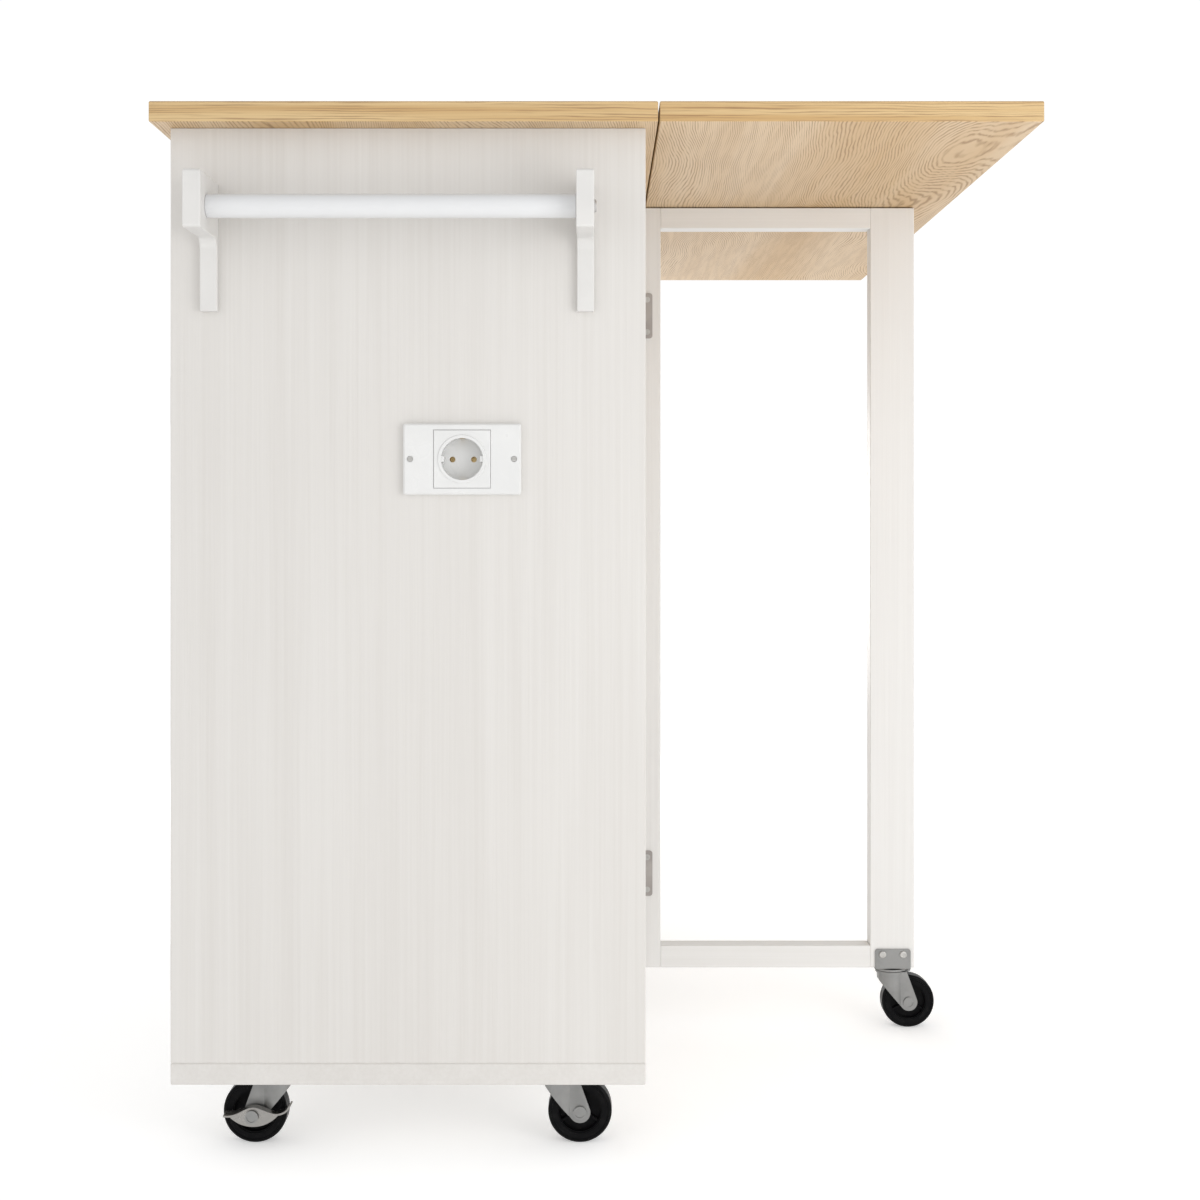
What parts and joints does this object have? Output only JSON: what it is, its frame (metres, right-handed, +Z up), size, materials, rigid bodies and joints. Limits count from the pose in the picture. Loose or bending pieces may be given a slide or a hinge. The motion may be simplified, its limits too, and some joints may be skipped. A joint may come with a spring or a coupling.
{
  "type": "kitchen island table",
  "caption": "Rolling kitchen island: cabinet on casters with oak worktop, drop leaf held by a swinging gate, doors, drawers, towel rail and power socket.",
  "frame": {"origin": "centre of the base of the object's box, on the floor", "axes": "+Z up, +Y from the towel-rail end to the plain end, +X from the door side to the leaf side"},
  "size_m": [0.7864, 1.1692, 0.93],
  "materials": {
    "oak_board": "natural oak board, straight grain along the edges, satin lacquer",
    "white_board": "warm white wood-grain board, satin",
    "white_gate_wood": "white painted solid wood, satin",
    "white_bracket_wood": "white painted wood, satin",
    "white_rail_tube": "white gloss paint",
    "bolt_steel": "satin steel bolt heads",
    "socket_white": "white moulded plastic",
    "contact_brass": "bare brass",
    "box_plastic": "grey moulded plastic",
    "hinge_steel": "zinc plated steel sheet",
    "screw_steel": "zinc plated steel",
    "caster_zinc": "bright zinc plated pressed steel",
    "lever_zinc": "zinc plated pressed steel",
    "wheel_black": "black moulded wheel",
    "knob_satin": "satin nickel",
    "drawer_ply": "pale plywood",
    "catch_plastic": "white moulded plastic"
  },
  "bodies": {
    "cabinet": {"worktop": "oak_board", "towel_end_panel": "white_board", "far_end_panel": "white_board", "bottom_panel": "white_board", "back_panel": "white_board", "partition": "white_board", "front_rails": "white_board", "near_shelf": "white_board", "far_shelf": "white_board", "towel_bracket_left": "white_bracket_wood", "towel_bracket_right": "white_bracket_wood", "towel_rail": "white_rail_tube", "towel_rail_bolts": "bolt_steel", "socket_plate": "socket_white", "socket_insert": "socket_white", "socket_contacts": "contact_brass", "socket_back_box": "box_plastic", "leaf_hinge_fixed_plates": "hinge_steel", "gate_hinge_fixed_plates": "hinge_steel", "door_hinge_fixed_plates": "hinge_steel", "hinge_pins": "hinge_steel", "cabinet_screws": "screw_steel", "shelf_pins": "screw_steel", "caster_plates": "caster_zinc", "drawer_runners": "drawer_ply", "door_catches": "catch_plastic"},
    "leaf": {"drop_leaf": "oak_board", "leaf_hinge_plates": "hinge_steel", "leaf_screws": "screw_steel"},
    "gate": {"gate_stile": "white_gate_wood", "gate_top_rail": "white_gate_wood", "gate_bottom_rail": "white_gate_wood", "gate_post": "white_gate_wood", "gate_hinge_plates": "hinge_steel", "gate_caster_bracket": "caster_zinc", "gate_screws": "screw_steel"},
    "near_door": {"near_door": "white_board", "near_door_hardware": "knob_satin"},
    "far_left_door": {"far_left_door": "white_board", "far_left_door_hardware": "knob_satin"},
    "far_right_door": {"far_right_door": "white_board", "far_right_door_hardware": "knob_satin"},
    "near_drawer": {"near_drawer_front": "white_board", "near_drawer_box": "drawer_ply", "near_drawer_knobs": "knob_satin"},
    "far_drawer": {"far_drawer_front": "white_board", "far_drawer_box": "drawer_ply", "far_drawer_knobs": "knob_satin"},
    "fork_near_front": {"caster_fork_near_front": "caster_zinc"},
    "wheel_near_front": {"caster_wheel_near_front": "wheel_black"},
    "lever_near_front": {"brake_lever_near_front": "lever_zinc"},
    "fork_near_back": {"caster_fork_near_back": "caster_zinc"},
    "wheel_near_back": {"caster_wheel_near_back": "wheel_black"},
    "fork_far_front": {"caster_fork_far_front": "caster_zinc"},
    "wheel_far_front": {"caster_wheel_far_front": "wheel_black"},
    "lever_far_front": {"brake_lever_far_front": "lever_zinc"},
    "fork_far_back": {"caster_fork_far_back": "caster_zinc"},
    "wheel_far_back": {"caster_wheel_far_back": "wheel_black"},
    "fork_gate": {"caster_fork_gate": "caster_zinc"},
    "wheel_gate": {"caster_wheel_gate": "wheel_black"}
  },
  "joints": [
    {"name": "leaf_lift", "type": "hinge", "parent": "cabinet", "child": "leaf", "pos_m": [0.0587, 0.0256, 0.9094], "axis": [0, -1, 0], "range_deg": [0, 3]},
    {"name": "gate_swing", "type": "hinge", "parent": "cabinet", "child": "gate", "pos_m": [0.0278, -0.08, 0.4815], "axis": [0, 0, -1], "range_deg": [0, 90]},
    {"name": "near_door_hinge", "type": "hinge", "parent": "cabinet", "child": "near_door", "pos_m": [-0.3734, -0.488, 0.421], "axis": [0, 0, 1], "range_deg": [0, 105]},
    {"name": "far_left_door_hinge", "type": "hinge", "parent": "cabinet", "child": "far_left_door", "pos_m": [-0.3734, -0.09, 0.421], "axis": [0, 0, 1], "range_deg": [0, 105]},
    {"name": "far_right_door_hinge", "type": "hinge", "parent": "cabinet", "child": "far_right_door", "pos_m": [-0.3734, 0.5392, 0.421], "axis": [0, 0, -1], "range_deg": [0, 105]},
    {"name": "near_drawer_slide", "type": "slide", "parent": "cabinet", "child": "near_drawer", "axis": [-1, 0, 0], "range_m": [0, 0.28]},
    {"name": "far_drawer_slide", "type": "slide", "parent": "cabinet", "child": "far_drawer", "axis": [-1, 0, 0], "range_m": [0, 0.28]},
    {"name": "near_front_swivel", "type": "hinge", "parent": "cabinet", "child": "fork_near_front", "pos_m": [-0.2881, -0.4464, 0.0615], "axis": [0, 0, 1], "continuous": true},
    {"name": "near_front_roll", "type": "hinge", "parent": "fork_near_front", "child": "wheel_near_front", "pos_m": [-0.3057, -0.4464, 0.029], "axis": [0, 1, 0], "continuous": true},
    {"name": "near_front_brake", "type": "hinge", "parent": "fork_near_front", "child": "lever_near_front", "pos_m": [-0.3057, -0.4464, 0.029], "axis": [0, 1, 0], "range_deg": [0, 14]},
    {"name": "near_back_swivel", "type": "hinge", "parent": "cabinet", "child": "fork_near_back", "pos_m": [-0.0281, -0.4464, 0.0615], "axis": [0, 0, 1], "continuous": true},
    {"name": "near_back_roll", "type": "hinge", "parent": "fork_near_back", "child": "wheel_near_back", "pos_m": [-0.0105, -0.4464, 0.029], "axis": [0, 1, 0], "continuous": true},
    {"name": "far_front_swivel", "type": "hinge", "parent": "cabinet", "child": "fork_far_front", "pos_m": [-0.2881, 0.4976, 0.0615], "axis": [0, 0, 1], "continuous": true},
    {"name": "far_front_roll", "type": "hinge", "parent": "fork_far_front", "child": "wheel_far_front", "pos_m": [-0.3057, 0.4976, 0.029], "axis": [0, 1, 0], "continuous": true},
    {"name": "far_front_brake", "type": "hinge", "parent": "fork_far_front", "child": "lever_far_front", "pos_m": [-0.3057, 0.4976, 0.029], "axis": [0, 1, 0], "range_deg": [0, 14]},
    {"name": "far_back_swivel", "type": "hinge", "parent": "cabinet", "child": "fork_far_back", "pos_m": [-0.0281, 0.4976, 0.0615], "axis": [0, 0, 1], "continuous": true},
    {"name": "far_back_roll", "type": "hinge", "parent": "fork_far_back", "child": "wheel_far_back", "pos_m": [-0.0105, 0.4976, 0.029], "axis": [0, 1, 0], "continuous": true},
    {"name": "gate_swivel", "type": "hinge", "parent": "gate", "child": "fork_gate", "pos_m": [0.3339, -0.0645, 0.0615], "axis": [0, 0, 1], "continuous": true},
    {"name": "gate_roll", "type": "hinge", "parent": "fork_gate", "child": "wheel_gate", "pos_m": [0.3515, -0.0645, 0.029], "axis": [0, 1, 0], "continuous": true}
  ]
}
